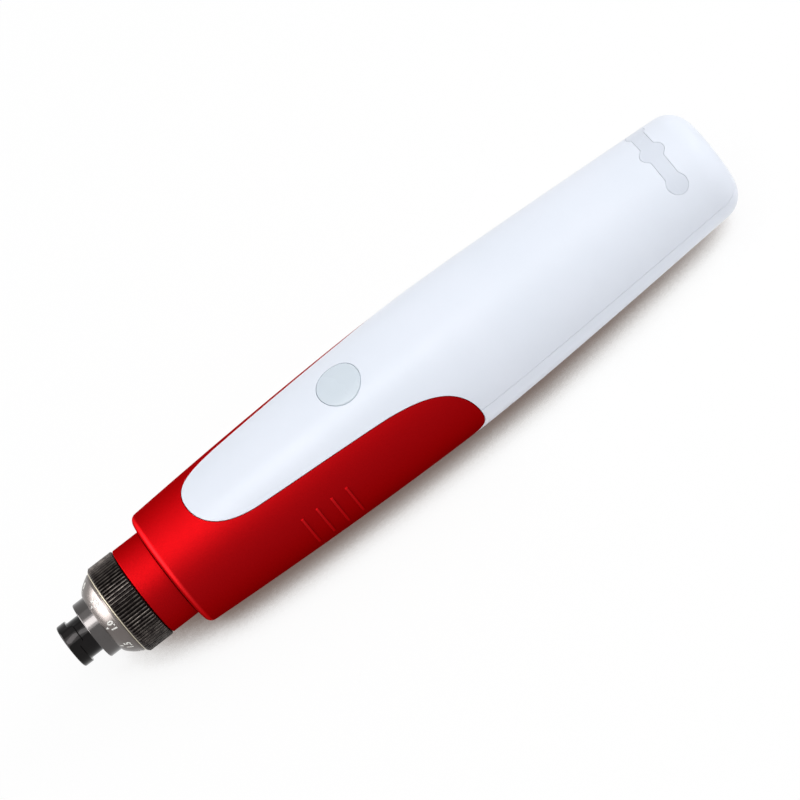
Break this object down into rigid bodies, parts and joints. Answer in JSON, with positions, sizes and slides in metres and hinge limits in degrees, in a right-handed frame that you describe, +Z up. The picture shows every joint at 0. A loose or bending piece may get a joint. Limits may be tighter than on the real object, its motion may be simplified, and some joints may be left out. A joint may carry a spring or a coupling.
{
  "type": "microneedling pen",
  "caption": "Cordless microneedling pen: white housing with a red grip, round speed button, light window, turning depth ring and a bayonet nose for a needle cartridge.",
  "frame": {"origin": "middle of the pen's length and width, at the flat land on its belly", "axes": "+X from the nose to the tail along the pen, +Z up through the button, +Y to the right of the pen with its nose forward"},
  "size_m": [0.189, 0.0366, 0.0349],
  "materials": {
    "white_gloss": "polished ABS",
    "red_satin": "satin metallic red coat",
    "gunmetal": "dark anodised, straight knurl",
    "scale_metal": "turned, dark nickel",
    "dark_chrome": "black chrome",
    "steel": "plain steel",
    "rubber": "nitrile",
    "brass": "turned bronze",
    "natural_plastic": "acetal",
    "black_plastic": "moulded",
    "magnet": "sintered magnet",
    "copper": "copper winding and contacts",
    "nickel": "nickel plate",
    "cell_wrap": "wrapped lithium cell",
    "board_green": "glass epoxy board",
    "pale_clear": "frosted translucent plastic",
    "lamp_yellow": "lamp",
    "lead_red": "insulated wire"
  },
  "bodies": {
    "housing": {"top_shell": "white_gloss", "bottom_shell": "white_gloss", "grip_sleeve": "red_satin", "neck_sleeve": "red_satin", "left_front_case_screw": "steel", "right_front_case_screw": "steel", "left_rear_case_screw": "steel", "right_rear_case_screw": "steel", "retaining_ring": "steel", "detent_ball": "steel", "detent_spring": "steel", "return_spring": "steel", "left_motor_screw": "steel", "right_motor_screw": "steel", "motor_can": "steel", "ring_seal": "rubber", "motor_damper": "rubber", "guide_bush": "brass", "front_shaft_bush": "brass", "rear_shaft_bush": "brass", "motor_mount": "natural_plastic", "motor_end_bell": "black_plastic", "battery_tray": "black_plastic", "speed_switch": "black_plastic", "control_chip": "black_plastic", "charge_socket": "black_plastic", "upper_magnet": "magnet", "lower_magnet": "magnet", "left_motor_brush": "copper", "right_motor_brush": "copper", "left_motor_terminal": "nickel", "right_motor_terminal": "nickel", "front_cell_tab": "nickel", "rear_cell_tab": "nickel", "charge_pin": "nickel", "battery_cell": "cell_wrap", "circuit_board": "board_green", "charge_board": "board_green", "light_window": "pale_clear", "middle_status_lamp": "lamp_yellow", "left_status_lamp": "lamp_yellow", "right_status_lamp": "lamp_yellow", "left_motor_lead": "lead_red", "right_motor_lead": "lead_red", "left_charge_lead": "lead_red", "right_charge_lead": "lead_red"},
    "depth_ring": {"depth_ring": "gunmetal", "scale_dome": "scale_metal"},
    "barrel": {"bayonet_barrel": "dark_chrome", "barrel_seal": "rubber", "follower_pin": "steel"},
    "needle_drive": {"needle_bar": "steel", "cam_follower": "natural_plastic"},
    "rotor": {"motor_shaft": "steel", "armature": "copper", "commutator": "copper", "drive_cam": "natural_plastic"},
    "button": {"speed_button": "pale_clear"}
  },
  "joints": [
    {"name": "depth_ring_turn", "type": "hinge", "parent": "housing", "child": "depth_ring", "pos_m": [-0.077, 0, 0.0169], "axis": [1, 0, 0], "range_deg": [-160, 40]},
    {"name": "nose_slide", "type": "slide", "parent": "housing", "child": "barrel", "axis": [1, 0, 0], "range_m": [-0.0005, 0.002]},
    {"name": "needle_stroke", "type": "slide", "parent": "housing", "child": "needle_drive", "axis": [-1, 0, 0], "range_m": [0, 0.0025], "stiffness_N_per_m": 300, "springref_m": -0.002, "deforming": ["return_spring"]},
    {"name": "motor_spin", "type": "hinge", "parent": "housing", "child": "rotor", "pos_m": [-0.0295, 0, 0.0169], "axis": [1, 0, 0], "continuous": true},
    {"name": "speed_button_press", "type": "slide", "parent": "housing", "child": "button", "axis": [0, 0, -1], "range_m": [0, 0.0005], "stiffness_N_per_m": 1500, "springref_m": -0.0005}
  ],
  "couplings": [
    {"joint": "depth_ring_turn", "follows": "nose_slide", "rad_per_m": -1396.3}
  ]
}
